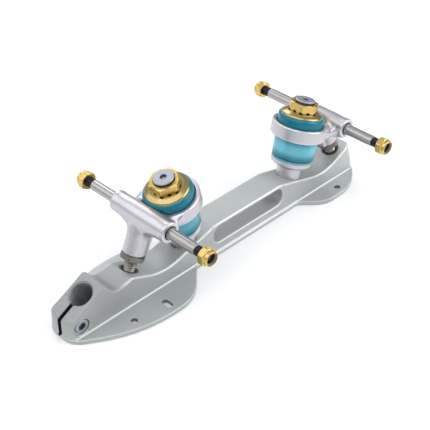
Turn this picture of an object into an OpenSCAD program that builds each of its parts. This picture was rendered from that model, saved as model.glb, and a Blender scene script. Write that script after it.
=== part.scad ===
// Quad roller skate plate: a cast chassis lying on its sole face, two cushioned trucks, axles and nuts.
// X runs from the toe (-) to the heel (+), Y across, Z up from the sole face. Millimetres.

/* [Plate] */
// Distance between the two axles
wheelbase = 160; // [146:1:180]
// Toe tip to front axle
toe_reach = 68; // [66:0.5:74]
// Rear axle to heel end
heel_reach = 28; // [26:0.5:34]
// Half width of the front flange
front_half_w = 33; // [30:0.5:38]
// Half width of the heel flange
heel_half_w = 25.4; // [23:0.2:29]
// Thickness of the flange
flange_t = 3; // [2.4:0.1:3.6]
// Chamfer round the edge of the flange
flange_edge = 0.5; // [0.2:0.1:0.8]
// Narrow rim of flange left beside the beam
beam_rim = 0.9; // [0.6:0.1:1.6]
// Radius of the toe in plan
toe_r = 14; // [11:0.5:16]
// Radius of the heel in plan
heel_r = 10; // [7:0.5:12]

/* [Body casting] */
// Half width of the body walls at the flange
wall_half_w = 11.1; // [10.5:0.1:12.5]
// Lean of the body walls for the mould
draft = 1.5; // [0:0.25:3]
// Height of the beam between the trucks
beam_h = 24; // [23:0.5:27]
// Fillet where the walls meet the flange
foot_fillet = 1; // [0.6:0.2:2]
// Rounding along the top edges
top_round = 1.3; // [0.5:0.1:2]
// Height of the kingpin seats above the sole
seat_h = 19; // [18:0.25:21]
// Height of the saddle behind the toe boss
toe_saddle_h = 19.4; // [18:0.2:21]
// Radius of the body's corners at the heel
heel_round = 6; // [4:0.25:8]
// Ledge of flange left behind the heel's end wall
heel_step = 2.1; // [1.6:0.1:3]
// Body left beyond each pivot hole, measured along its face
pivot_land = 6.5; // [6:0.1:8]
// Solid length left between each kingpin axis and the beam window
window_land = 17; // [14:0.5:22]
// Lower edge of the beam window above the sole
window_sill = 9.2; // [7:0.2:11]
// Metal left above the beam window
window_roof = 2; // [1.6:0.1:3]
// Corner radius of the beam window
window_r = 5.5; // [3:0.25:6]

/* [Toe stop clamp] */
// Lean of the toe stop socket towards the toe
socket_tilt = 29; // [24:0.5:33]
// Toe tip to the socket's mouth, measured level
socket_reach = 17.6; // [16.5:0.1:19.5]
// Height of the middle of the socket's mouth
socket_h = 22.9; // [21.5:0.1:24.5]
// Diameter of the toe stop socket
socket_d = 15.9; // [13:0.1:16.5]
// Level length of the clamp's face behind the socket's middle
face_back = 10.2; // [9.4:0.1:10.8]
// Slope of the boss down to the saddle
boss_slope = 52; // [45:1:60]
// Width of the clamp slot
slot_w = 2.6; // [1.2:0.1:3]
// Toe tip to the clamp screw
screw_reach = 9.2; // [8:0.1:10]
// Height of the clamp screw
screw_h = 9.4; // [7.5:0.1:10]
// Thread diameter of the clamp screw
screw_d = 5; // [4:0.5:6]
// Head diameter of the clamp screw
screw_head_d = 9.2; // [8:0.1:9.4]
// Head height of the clamp screw
screw_head_h = 4.4; // [4:0.1:5.4]
// Depth of the screw head below the wall
screw_sink = 0.6; // [0.2:0.1:1.2]
// Width of the pocket round the screw head
pocket_w = 10; // [9.8:0.1:11]
// Length of the pocket beyond the screw, towards the toe
pocket_l = 1.2; // [0.6:0.1:1.6]
// Lean of the pocket
pocket_tilt = 15; // [5:1:20]
// Hexagon socket of the clamp screw, across flats
screw_key = 4; // [3:0.5:5]

/* [Boot holes] */
// Diameter of the round boot holes
hole_d = 4.4; // [3.6:0.1:5]
// Toe tip to the front pair of holes
front_hole_reach = 38; // [36:0.5:42]
// Half spacing of the front pair
front_hole_y = 22; // [20:0.25:23]
// Toe tip to the pair of slots
boot_slot_reach = 62; // [56:0.5:66]
// Half spacing of the slots
boot_slot_y = 24.8; // [23:0.2:25.5]
// Length of the slots, end to end
boot_slot_l = 8.2; // [6.5:0.1:9.5]
// Heel end to the heel pair of holes
heel_hole_reach = 28; // [27:0.5:33]
// Half spacing of the heel pair
heel_hole_y = 19.4; // [18.5:0.1:20]

/* [Kingpin stack] */
// Lean of the kingpin towards the axle
kingpin_tilt = 15; // [12:0.5:17]
// Kingpin axis to axle axis
kingpin_offset = 21.1; // [20.6:0.1:23]
// Thread diameter of the kingpin
kingpin_d = 13.4; // [12:0.2:13.8]
// Depth of the kingpin in the chassis
kingpin_root = 14; // [10:0.5:14]
// Kingpin end standing proud of the nut
kingpin_proud = 2; // [1:0.25:4]
// Hexagon socket of the kingpin, across flats
kingpin_key = 5; // [4:0.5:6]
// Depth of the spot face under each seat
seat_sink = 0.5; // [0.3:0.1:0.9]
// Diameter of the seat's neck
neck_d = 17.4; // [16.8:0.2:18.6]
// Height of the seat's neck
neck_h = 8; // [6:0.25:10]
// Outer diameter of the seat's dish
dish_d = 28.6; // [28:0.2:30]
// Height of the seat's dish
dish_h = 5; // [4:0.25:6]
// Depth of the dish
dish_depth = 2.6; // [2:0.1:3]
// Wall round the dish
dish_wall = 1; // [0.8:0.1:1.5]
// Lower cushion showing between the dish and the ring
lower_show = 16.6; // [14:0.1:18]
// Upper cushion showing between the ring and the cup
upper_show = 5.6; // [4.5:0.1:7]
// Diameter of the upper cushion at its fullest
upper_d = 31.4; // [30:0.1:31.8]
// Rounding of the upper cushion's shoulder
upper_shoulder = 2.6; // [1.5:0.1:3]
// Diameter of the retainer cup
cup_d = 28.4; // [27:0.2:29.6]
// Height of the retainer cup
cup_h = 2.9; // [2.6:0.1:4]
// Depth of the retainer cup's hollow
cup_depth = 1.7; // [1.2:0.1:1.9]
// Wall round the retainer cup
cup_wall = 0.9; // [0.7:0.1:1.4]
// Adjusting nut, across flats
adjust_af = 18; // [17.5:0.25:19]
// Height of the adjusting nut
adjust_h = 5.8; // [5:0.1:7]
// Detent notches at the foot of the adjusting nut
detents = 12; // [6:1:14]
// Diameter of a detent notch
detent_d = 1.8; // [1:0.1:2.2]

/* [Truck] */
// Outer diameter of the cushion ring
ring_d = 37.6; // [37:0.2:39]
// Height of the cushion ring
ring_h = 9.2; // [8.6:0.1:10.4]
// Ring's lower face to the axle, along the kingpin
ring_drop = 10.1; // [9.6:0.1:11.4]
// Depth of the ring's recess for each cushion
ring_recess = 3; // [2.4:0.1:3.2]
// Diameter of the lower recess
lower_recess_d = 31; // [30:0.1:32]
// Hole through the ring's web
web_hole_d = 18; // [17:0.5:20]
// Length of the hanger tube
tube_l = 48.4; // [46:0.2:52]
// Diameter of the hanger tube
tube_d = 13.2; // [12:0.1:13.6]
// Depth of the recess in each tube end
tube_recess = 2; // [1:0.1:3]
// Diameter of the recess in each tube end
tube_recess_d = 8.8; // [8.2:0.1:9.6]
// Height of the gusset between ring and tube
gusset_h = 5.6; // [4:0.2:6.4]
// Half width of the gusset between ring and tube
gusset_half_w = 17.5; // [14:0.5:18]
// Lean of the pivot arm
arm_tilt = 23; // [22:0.5:25]
// Diameter of the pivot arm
arm_d = 14.2; // [13:0.1:14.6]
// Axle to the foot of the pivot arm
arm_l = 24; // [23.4:0.2:25.4]
// Half width of the arm's flare where it leaves the tube
flare_half_w = 21; // [17:0.5:22]
// Length of the arm's flare
flare_l = 15.5; // [13:0.5:18]
// Thickness of the arm's flare
flare_t = 9; // [7:0.5:11]
// Thickness of the rib behind the arm
rib_t = 8.4; // [6:0.2:10]
// Reach of the rib behind the arm's middle
rib_reach = 9; // [8:0.2:10]
// Axle to the chassis face at the pivot hole, along the arm
pivot_face = 34.9; // [34.2:0.1:35.5]
// Depth of the pivot ball's middle below that face
ball_depth = 2.8; // [2.2:0.1:3.4]
// Diameter of the pivot ball
ball_d = 7.6; // [6.6:0.1:7.8]
// Thread diameter of the pivot stud
stud_d = 8; // [7:0.5:8]
// Length of the stud inside the arm
stud_root = 12; // [9:0.5:14]
// Pivot locknut, across flats
locknut_af = 14; // [13:0.25:14.5]
// Height of the pivot locknut
locknut_h = 3.9; // [3.5:0.1:4.6]
// Outer diameter of the pivot cup
pivot_cup_d = 11.8; // [11:0.1:12.2]
// Height of the pivot cup
pivot_cup_h = 8.4; // [7.5:0.1:9]
// Mouth diameter of the pivot cup
pivot_mouth_d = 9.6; // [9:0.1:10]

/* [Axles] */
// Diameter of the axle where a wheel runs
axle_d = 7; // [6.6:0.1:7]
// Half length of the plain shaft
shaft_half = 45.4; // [44:0.2:48]
// Diameter of the axle's thread
axle_thread_d = 6.4; // [6:0.1:6.5]
// Diameter of the axle where it is pressed into the hanger
axle_press_d = 7.6; // [7.4:0.1:8]
// Half length of the whole axle
axle_half = 55.4; // [54.4:0.2:56.4]
// Axle nut, across flats
axle_nut_af = 10.6; // [10.4:0.1:11.4]
// Height of the axle nut's hexagon
axle_nut_h = 4.6; // [4:0.1:6]
// Height of the axle nut's round collar
collar_h = 2.2; // [2:0.1:3]
// Diameter of the axle nut's collar
collar_d = 9.8; // [9.4:0.1:10.2]
// Length of the nylon ring
insert_l = 1.4; // [1:0.1:1.5]
// Outer diameter of the nylon ring
insert_d = 8; // [7.6:0.1:8.6]
// Inner face of an axle nut back from the axle's end
nut_back = 4.8; // [4:0.2:6]

/* [Fits] */
// Radial clearance of threads and shafts in their holes
fit = 0.05; // [0.02:0.01:0.09]
// Gap between a cushion and the metal round it
soft_gap = 0.3; // [0.2:0.05:0.4]
// Gap between stacked faces
face_gap = 0.1; // [0.05:0.05:0.2]

/* [Hidden] */
$fn = 64;
toe_x = -(toe_reach + wheelbase + heel_reach) / 2;
heel_x = -toe_x;
front_axle_x = toe_x + toe_reach;
rear_axle_x = heel_x - heel_reach;

// Heights along a kingpin, from its seat on the chassis
dish_t = neck_h;
dish_rim_t = dish_t + dish_h;
ring_t = dish_rim_t + lower_show;
web_t = ring_t + ring_recess;
ring_top_t = ring_t + ring_h;
web_top_t = ring_top_t - ring_recess;
axle_t = ring_t + ring_drop;
cup_t = ring_top_t + upper_show;
adjust_t = cup_t + cup_h;
kingpin_top_t = adjust_t + adjust_h + kingpin_proud;

// The seat in a truck's own frame: origin in the axle, X outwards to the pivot, Z up
seat_u = -kingpin_offset * cos(kingpin_tilt) - axle_t * sin(kingpin_tilt);
seat_z = kingpin_offset * sin(kingpin_tilt) - axle_t * cos(kingpin_tilt);
axle_h = seat_h - seat_z;

// The pivot hole on the chassis in the same frame
pivot_u = pivot_face * sin(arm_tilt);
pivot_h = axle_h - pivot_face * cos(arm_tilt);
ball_z = -pivot_face - ball_depth;

// Top line of the body: sloped square to the kingpins and to the pivot arms
crest_u = seat_u - (beam_h - seat_h) / tan(kingpin_tilt);
dip_u = (seat_h + seat_u * tan(kingpin_tilt) - pivot_h + pivot_u * tan(arm_tilt)) / (tan(kingpin_tilt) + tan(arm_tilt));
dip_h = seat_h - (dip_u - seat_u) * tan(kingpin_tilt);
hump_u = pivot_u + pivot_land * cos(arm_tilt);
hump_h = pivot_h + pivot_land * sin(arm_tilt);
socket_x = toe_x + socket_reach;
face_back_x = socket_x + face_back;
boss_h = socket_h + face_back * tan(socket_tilt);
boss_foot_x = face_back_x + (boss_h - toe_saddle_h) / tan(boss_slope);
toe_top_h = socket_h - socket_reach * tan(socket_tilt);
boss_round = 2.2;
boss_edge_round = 2.4;
boss_fade = 10;
saddle_round = 8;
hump_round = 5;
dip_round = 36;
crest_round = 18;
heel_top_round = 4;
heel_lean = 1.3;
heel_wall_x = heel_x - heel_step;
heel_top_x = heel_wall_x - heel_lean;
heel_top_h = pivot_h + (heel_top_x - rear_axle_x - pivot_u) * tan(arm_tilt);
least = 0.2;

// Plan of the flange: straight flanks joined by arcs
flank_slope = 32;
shoulder_slope = 45;
heel_slope = 38.5;
flank_round = 90;
shoulder_round = 30;
heel_shoulder_round = 18;
heel_flank_round = 38;
rim_round = 6;
beam_half_w = wall_half_w + beam_rim;
toe_corner_y = 10.6;
flank_corner_x = toe_x + (front_half_w - toe_corner_y) / tan(flank_slope);
shoulder_back = 10;
shoulder_x = front_axle_x + shoulder_back;
heel_corner_y = 10.6;
heel_corner_x = heel_x - (heel_half_w - heel_corner_y) / tan(heel_slope);
heel_shoulder_back = 19;
heel_shoulder_x = rear_axle_x - heel_shoulder_back;

// Stations of the lofted body
end_steps = 9;
end_l = 16;
ledge_steps = 4;
mid_steps = 70;

// Colours
cast_grey = [0.69, 0.71, 0.71];
hanger_silver = [0.86, 0.85, 0.88];
steel = [0.62, 0.61, 0.6];
gold_zinc = [0.8, 0.66, 0.36];
teal_dark = [0.05, 0.45, 0.53];
teal_light = [0.35, 0.72, 0.8];
dark_nickel = [0.45, 0.43, 0.4];
black_plastic = [0.1, 0.1, 0.11];
nylon_grey = [0.35, 0.34, 0.33];

function unit(v) = v / norm(v);

// Points of the arc of radius r that rounds the corner b between a and c
function corner(a, b, c, r, n = 8) =
    let (p = unit(a - b), q = unit(c - b), half = acos(max(-1, min(1, p * q))) / 2)
    let (mid = b + unit(p + q) * r / sin(half), s = b + p * r / tan(half) - mid, e = b + q * r / tan(half) - mid)
    let (a0 = atan2(s.y, s.x), turn = (atan2(e.y, e.x) - a0 + 540) % 360 - 180)
    [for (i = [0:n]) mid + r * [cos(a0 + turn * i / n), sin(a0 + turn * i / n)]];

// A line through the corners [x, y, r], each rounded by its own radius
function rounded(c) = [for (i = [0:len(c) - 1]) each
    i == 0 || i == len(c) - 1 || c[i][2] == 0 ? [[c[i].x, c[i].y]] :
        corner([c[i - 1].x, c[i - 1].y], [c[i].x, c[i].y], [c[i + 1].x, c[i + 1].y], c[i][2])];

top_line = rounded([
    [toe_x, toe_top_h, 0], [face_back_x, boss_h, boss_round], [boss_foot_x, toe_saddle_h, saddle_round],
    [front_axle_x - hump_u, hump_h, hump_round], [front_axle_x - dip_u, dip_h, dip_round],
    [front_axle_x - crest_u, beam_h, crest_round], [rear_axle_x + crest_u, beam_h, crest_round],
    [rear_axle_x + dip_u, dip_h, dip_round], [heel_top_x, heel_top_h, heel_top_round],
    [heel_wall_x, flange_t + least, 0], [heel_x, flange_t + least, 0]]);

plan_line = rounded([
    [toe_x, 0, 0], [toe_x, toe_corner_y, toe_r], [flank_corner_x, front_half_w, flank_round],
    [shoulder_x, front_half_w, shoulder_round],
    [shoulder_x + (front_half_w - beam_half_w) / tan(shoulder_slope), beam_half_w, rim_round],
    [heel_shoulder_x - (heel_half_w - beam_half_w) / tan(shoulder_slope), beam_half_w, rim_round],
    [heel_shoulder_x, heel_half_w, heel_shoulder_round], [heel_corner_x, heel_half_w, heel_flank_round],
    [heel_x, heel_corner_y, heel_r], [heel_x, 0, 0]]);
plan_inner = [for (i = [1:len(plan_line) - 2]) plan_line[i]];

function top_at(x) = lookup(x, top_line);
function plan_at(x) = lookup(x, plan_inner);

// Half width of the body at x, before its draft: its corners are round at the heel
function body_at(x) = let (d = max(0, x - heel_wall_x + heel_round))
    min(plan_at(x) - least, wall_half_w - heel_round + sqrt(max(least * least, heel_round * heel_round - d * d)));

// Rounding of the body's top edges, softest round the toe stop socket
function edge_at(x) = lookup(x, [[toe_x, top_round], [socket_x - socket_d / 2, boss_edge_round],
    [face_back_x, boss_edge_round], [boss_foot_x + boss_fade, top_round]]);

// Half of the body's cross-section at x: flange edge, fillet, leaning wall and rounded top
function half_section(x) =
    let (f = plan_at(x), h = top_at(x), b = body_at(x))
    let (rim = f - b, rise = h - flange_t, t = b - rise * tan(draft))
    let (c = min(flange_edge, rim / 4), r = min(foot_fillet, rim / 3, rise / 3), k = min(edge_at(x), t / 3, rise / 3))
    [[f - c, 0], [f, c], [f, flange_t - c], [f - c, flange_t],
     for (a = [0, 45, 90]) [b + r - r * sin(a), flange_t + r - r * cos(a)],
     for (a = [0:30:90]) [t - k + k * cos(a), h - k + k * sin(a)]];

function section(x) = let (s = half_section(x), n = len(s))
    [for (p = s) [x, p.x, p.y], for (i = [n - 1:-1:0]) [x, -s[i].x, s[i].y]];

// Stations crowd together at the round ends and at the heel's end wall
stations = [
    for (i = [0:end_steps]) toe_x + end_l * (1 - cos(90 * i / end_steps)),
    for (i = [1:mid_steps]) toe_x + end_l + (heel_wall_x - toe_x - 2 * end_l) * i / mid_steps,
    for (i = [1:end_steps - 1]) heel_top_x - (end_l - heel_lean) * (1 - sin(90 * i / (end_steps - 1))),
    for (i = [0:ledge_steps]) heel_wall_x + heel_step * sin(90 * i / ledge_steps)];

module loft(rings) {
    n = len(rings[0]);
    m = len(rings);
    polyhedron(
        points = [for (r = rings) each r],
        faces = concat(
            [[for (j = [0:n - 1]) j]],
            [for (i = [0:m - 2]) for (j = [0:n - 1]) each
                let (a = i * n + j, b = i * n + (j + 1) % n, c = a + n, d = b + n) [[a, d, b], [a, c, d]]],
            [[for (j = [n - 1:-1:0]) (m - 1) * n + j]]),
        convexity = 6);
}

// Frames: each truck's axle, its kingpin seat and its pivot arm
module at_truck(end) {
    if (end == "front")
        translate([front_axle_x, 0, axle_h]) rotate([0, 0, 180]) children();
    else
        translate([rear_axle_x, 0, axle_h]) children();
}
module on_kingpin() { translate([seat_u, 0, seat_z]) rotate([0, kingpin_tilt, 0]) children(); }
module on_arm() { rotate([0, -arm_tilt, 0]) children(); }
module on_axle(side) { rotate([-90 * side, 0, 0]) children(); }
module at_socket() { translate([socket_x, 0, socket_h]) rotate([0, -socket_tilt, 0]) children(); }
module at_screw() { translate([toe_x + screw_reach, 0, screw_h]) rotate([90, 0, 0]) children(); }

module hexagon(af, h) { cylinder(h = h, d = af / cos(30), $fn = 6); }

// Turned shape: an outline [radius, height] about Z
module turned(outline) { rotate_extrude() polygon(outline); }

overrun = 1;
screw_head_z = wall_half_w - (screw_h - flange_t) * tan(draft) - screw_sink;
screw_floor = screw_head_z - screw_head_h;
screw_back = 2;
screw_root = screw_back - wall_half_w;

module boot_hole(x, y) {
    for (s = [-1, 1])
        translate([x, s * y, -overrun]) cylinder(h = flange_t + 2 * overrun, d = hole_d);
}

module boot_slot(x, y) {
    h = flange_t + 2 * overrun;
    reach = (boot_slot_l - hole_d) / 2;
    for (s = [-1, 1]) translate([x, s * y, -overrun]) {
        for (e = [-1, 1]) translate([0, e * reach, 0]) cylinder(h = h, d = hole_d);
        translate([-hole_d / 2, -reach, 0]) cube([hole_d, 2 * reach, h]);
    }
}

// Long window across the beam, with round corners
window_x0 = front_axle_x - seat_u + window_land;
window_x1 = rear_axle_x + seat_u - window_land;
window_top = beam_h - window_roof;
module beam_window() {
    w = 2 * (beam_half_w + overrun);
    for (x = [window_x0 + window_r, window_x1 - window_r])
        for (z = [window_sill + window_r, window_top - window_r])
            translate([x, w / 2, z]) rotate([90, 0, 0]) cylinder(h = w, r = window_r);
    translate([window_x0 + window_r, -w / 2, window_sill])
        cube([window_x1 - window_x0 - 2 * window_r, w, window_top - window_sill]);
    translate([window_x0, -w / 2, window_sill + window_r])
        cube([window_x1 - window_x0, w, window_top - window_sill - 2 * window_r]);
}

socket_l = (socket_h + socket_d * sin(socket_tilt)) / cos(socket_tilt);
module chassis() {
    color(cast_grey) difference() {
        loft([for (x = stations) section(x)]);
        at_socket() translate([0, 0, -socket_l]) cylinder(h = socket_l + 2 * socket_d, d = socket_d);
        translate([toe_x - overrun, -slot_w / 2, -overrun])
            cube([socket_reach + overrun, slot_w, boss_h + 2 * overrun]);
        at_screw() {
            translate([0, 0, screw_root - overrun]) cylinder(h = 4 * wall_half_w, d = screw_d + 2 * fit);
            translate([0, 0, screw_floor]) rotate([0, 0, pocket_tilt]) {
                for (x = [-pocket_l, 0]) translate([x, 0, 0]) cylinder(h = 2 * wall_half_w, d = pocket_w);
                translate([-pocket_l, -pocket_w / 2, 0]) cube([pocket_l, pocket_w, 2 * wall_half_w]);
            }
        }
        for (end = ["front", "rear"]) at_truck(end) {
            on_kingpin() translate([0, 0, -kingpin_root - face_gap])
                cylinder(h = kingpin_root + neck_h, d = kingpin_d + 2 * fit);
            on_kingpin() translate([0, 0, -seat_sink]) cylinder(h = neck_h, d = neck_d + 4 * fit);
            on_arm() translate([0, 0, -pivot_face - pivot_cup_h - face_gap])
                cylinder(h = 2 * pivot_cup_h, d = pivot_cup_d + 2 * fit);
        }
        beam_window();
        boot_hole(toe_x + front_hole_reach, front_hole_y);
        boot_slot(toe_x + boot_slot_reach, boot_slot_y);
        boot_hole(heel_x - heel_hole_reach, heel_hole_y);
    }
}

module toe_clamp_screw() {
    key_depth = screw_head_h * 0.55;
    seat = screw_floor + face_gap;
    color(steel) at_screw() difference() {
        turned([[0, screw_root], [screw_d / 2, screw_root], [screw_d / 2, seat], [screw_head_d / 2, seat],
            [screw_head_d / 2, screw_head_z - screw_sink], [screw_head_d / 2 - screw_sink, screw_head_z], [0, screw_head_z]]);
        translate([0, 0, screw_head_z - key_depth]) hexagon(screw_key, key_depth + overrun);
    }
}

module kingpin() {
    chamfer = 0.8;
    key_depth = 4;
    color(steel) on_kingpin() difference() {
        turned([[0, -kingpin_root], [kingpin_d / 2, -kingpin_root], [kingpin_d / 2, kingpin_top_t - chamfer],
            [kingpin_d / 2 - chamfer, kingpin_top_t], [0, kingpin_top_t]]);
        translate([0, 0, kingpin_top_t - key_depth]) hexagon(kingpin_key, key_depth + overrun);
    }
}

// Turned seat: a neck on the chassis that opens into a shallow dish
module cushion_seat() {
    bore = kingpin_d / 2 + fit;
    floor_t = dish_rim_t - dish_depth;
    rim = dish_d / 2;
    foot = face_gap - seat_sink;
    color(hanger_silver) on_kingpin() turned([
        [bore, foot], [neck_d / 2, foot], [neck_d / 2, dish_t], [rim - dish_wall, floor_t - dish_wall], [rim, floor_t],
        [rim, dish_rim_t], [rim - dish_wall, dish_rim_t], [rim - dish_wall, floor_t], [bore, floor_t]]);
}

module lower_cushion() {
    bore = kingpin_d / 2 + soft_gap;
    foot = dish_rim_t - dish_depth + face_gap;
    head = web_t - face_gap;
    base_r = dish_d / 2 - dish_wall - soft_gap;
    rim_r = dish_d / 2;
    full_r = lower_recess_d / 2 - soft_gap;
    lip = 1.2;
    groove = 0.4;
    lip_t = dish_rim_t + lip;
    color(teal_light) on_kingpin() turned([
        [bore, foot], [base_r, foot], [base_r, dish_rim_t + face_gap], [rim_r, dish_rim_t + face_gap], [rim_r, lip_t],
        [rim_r - groove, lip_t + groove], [rim_r, lip_t + 2 * groove], [full_r, ring_t], [full_r, head], [bore, head]]);
}

module upper_cushion() {
    bore = kingpin_d / 2 + soft_gap;
    foot = web_top_t + face_gap;
    head = cup_t + cup_depth - face_gap;
    full_r = upper_d / 2;
    cap_r = cup_d / 2 - cup_wall - soft_gap;
    mid = cup_t - soft_gap - upper_shoulder;
    color(teal_dark) on_kingpin() turned([
        [bore, foot], [full_r - soft_gap, foot], [full_r, ring_top_t], [full_r, mid],
        for (a = [15:15:90]) [cap_r + (full_r - cap_r) * cos(a), mid + upper_shoulder * sin(a)],
        [cap_r, head], [bore, head]]);
}

// Pressed cup washer over the upper cushion
module retainer_cup() {
    bore = kingpin_d / 2 + fit;
    rim = cup_d / 2;
    top_r = adjust_af / 2 + cup_wall;
    color(gold_zinc) on_kingpin() turned([
        [bore, cup_t + cup_depth], [rim - cup_wall, cup_t + cup_depth], [rim - cup_wall, cup_t], [rim, cup_t],
        for (a = [0:15:90]) [top_r + (rim - top_r) * cos(a), cup_t + cup_wall + (cup_h - cup_wall) * sin(a)],
        [bore, cup_t + cup_h]]);
}

module adjusting_nut() {
    corner_r = adjust_af / 2 / cos(30);
    bevel = 1.2;
    foot = adjust_t + face_gap;
    top = adjust_t + adjust_h;
    color(gold_zinc) on_kingpin() difference() {
        intersection() {
            translate([0, 0, foot]) hexagon(adjust_af, top - foot);
            turned([[0, foot], [corner_r, foot], [corner_r, top - bevel], [adjust_af / 2 - bevel / 2, top], [0, top]]);
        }
        translate([0, 0, foot - overrun]) cylinder(h = adjust_h + 2 * overrun, d = kingpin_d + 2 * fit);
        for (i = [0:detents - 1])
            translate([0, 0, foot]) rotate([0, 90, 360 / detents * i]) cylinder(h = adjust_af, d = detent_d);
    }
}

module pivot_cup() {
    r = pivot_cup_d / 2;
    face = -pivot_face - face_gap;
    socket_r = ball_d / 2 + fit;
    color(black_plastic) on_arm() difference() {
        translate([0, 0, -pivot_face - pivot_cup_h]) cylinder(h = pivot_cup_h - face_gap, r = r);
        translate([0, 0, ball_z]) sphere(r = socket_r);
        translate([0, 0, ball_z])
            cylinder(h = face - ball_z, r1 = socket_r * cos(10), r2 = pivot_mouth_d / 2);
        translate([0, 0, face - face_gap]) cylinder(h = overrun, d = pivot_mouth_d);
    }
}

// Concave flare that carries the tube's width down into the arm
module flare() {
    arm_r = arm_d / 2;
    flare_sink = 0.6;
    rise = tube_d / 2 - flare_sink;
    reach = flare_half_w - arm_r;
    right = [for (a = [0:10:90]) [flare_half_w - reach * sin(a), -flare_l + (flare_l - rise) * cos(a)]];
    rotate([90, 0, 90]) linear_extrude(height = flare_t, center = true) polygon(concat(
        [[flare_half_w, 0]], right, [for (i = [len(right) - 1:-1:0]) [-right[i].x, right[i].y]], [[-flare_half_w, 0]]));
}

module hanger() {
    color(hanger_silver) difference() {
        union() {
            rotate([90, 0, 0]) cylinder(h = tube_l, d = tube_d, center = true);
            on_arm() {
                translate([0, 0, -arm_l]) cylinder(h = arm_l, d = arm_d);
                translate([-rib_reach, -rib_t / 2, -arm_l]) cube([rib_reach, rib_t, arm_l]);
                flare();
            }
            on_kingpin() {
                translate([0, 0, ring_t]) cylinder(h = ring_h, d = ring_d);
                translate([kingpin_offset / 2, -gusset_half_w, web_t])
                    cube([kingpin_offset / 2, 2 * gusset_half_w, gusset_h]);
            }
        }
        rotate([90, 0, 0]) cylinder(h = tube_l + 2 * overrun, d = axle_press_d + 2 * fit, center = true);
        for (side = [-1, 1]) on_axle(side)
            translate([0, 0, tube_l / 2 - tube_recess]) cylinder(h = tube_recess + overrun, d = tube_recess_d);
        on_kingpin() {
            translate([0, 0, web_top_t]) cylinder(h = kingpin_top_t, d = upper_d + 2 * soft_gap);
            translate([0, 0, ring_t - ring_h]) cylinder(h = ring_h + ring_recess, d = lower_recess_d);
            translate([0, 0, ring_t]) cylinder(h = ring_h, d = web_hole_d);
        }
        on_arm() translate([0, 0, -arm_l - overrun]) cylinder(h = stud_root + overrun + face_gap, d = stud_d + 2 * fit);
    }
}

module axle() {
    bevel = 0.7;
    thread_r = axle_thread_d / 2;
    shaft_r = axle_d / 2;
    press_r = axle_press_d / 2;
    press_half = tube_l / 2;
    color(steel) rotate([90, 0, 0]) turned([
        [0, -axle_half], [thread_r - bevel, -axle_half], [thread_r, bevel - axle_half], [thread_r, -shaft_half],
        [shaft_r, -shaft_half], [shaft_r, -press_half], [press_r, -press_half], [press_r, press_half],
        [shaft_r, press_half], [shaft_r, shaft_half], [thread_r, shaft_half], [thread_r, axle_half - bevel],
        [thread_r - bevel, axle_half], [0, axle_half]]);
}

// Threaded stud with a waisted neck and a ball end
module pivot_stud() {
    neck_r = ball_d * 0.44;
    waist = -arm_l - locknut_h - face_gap;
    color(steel) on_arm() union() {
        translate([0, 0, waist]) cylinder(h = -arm_l + stud_root - waist, d = stud_d);
        translate([0, 0, ball_z]) cylinder(h = waist - ball_z, r1 = neck_r, r2 = stud_d / 2 - fit);
        translate([0, 0, ball_z]) sphere(d = ball_d);
    }
}

module pivot_locknut() {
    bevel = 0.8;
    foot = -arm_l - locknut_h;
    head = -arm_l - face_gap;
    corner_r = locknut_af / 2 / cos(30);
    flat_r = locknut_af / 2;
    color(dark_nickel) on_arm() difference() {
        intersection() {
            translate([0, 0, foot]) hexagon(locknut_af, head - foot);
            turned([[0, foot], [flat_r, foot], [corner_r, foot + bevel], [corner_r, head - bevel], [flat_r, head], [0, head]]);
        }
        translate([0, 0, foot - overrun]) cylinder(h = locknut_h + 2 * overrun, d = stud_d + 2 * fit);
    }
}

nut_bore = axle_thread_d / 2 + fit;
nut_inner = axle_half - nut_back;
nut_collar_t = nut_inner + axle_nut_h;
nut_end_t = nut_collar_t + collar_h;
collar_lip = 0.5;
insert_t = nut_end_t - insert_l - collar_lip;
module axle_nut(side) {
    flat_r = axle_nut_af / 2;
    corner_r = flat_r / cos(30);
    bevel = 0.7;
    color(gold_zinc) on_axle(side) difference() {
        union() {
            intersection() {
                translate([0, 0, nut_inner]) hexagon(axle_nut_af, axle_nut_h);
                turned([[0, nut_inner], [flat_r, nut_inner], [corner_r, nut_inner + bevel], [corner_r, nut_collar_t - bevel],
                    [flat_r, nut_collar_t], [0, nut_collar_t]]);
            }
            turned([[0, nut_collar_t - bevel], [collar_d / 2, nut_collar_t - bevel], [collar_d / 2, nut_end_t - 2 * collar_lip],
                [collar_d / 2 - collar_lip, nut_end_t], [0, nut_end_t]]);
        }
        translate([0, 0, nut_inner - overrun]) cylinder(h = nut_end_t, r = nut_bore);
        translate([0, 0, insert_t]) cylinder(h = nut_end_t, d = insert_d);
    }
}

module nut_insert(side) {
    color(nylon_grey) on_axle(side) difference() {
        translate([0, 0, insert_t + face_gap]) cylinder(h = insert_l, d = insert_d - 2 * fit);
        translate([0, 0, insert_t - overrun]) cylinder(h = nut_end_t, r = nut_bore);
    }
}

chassis();
toe_clamp_screw();
for (end = ["front", "rear"]) at_truck(end) {
    kingpin();
    cushion_seat();
    lower_cushion();
    upper_cushion();
    retainer_cup();
    adjusting_nut();
    pivot_cup();
    hanger();
    axle();
    pivot_stud();
    pivot_locknut();
    // The front truck faces the other way, so its left side is its own -Y
    left = end == "front" ? -1 : 1;
    axle_nut(left);
    axle_nut(-left);
    nut_insert(left);
    nut_insert(-left);
}
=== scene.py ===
import math
import bpy
import numpy as np
from mathutils import Matrix


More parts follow.
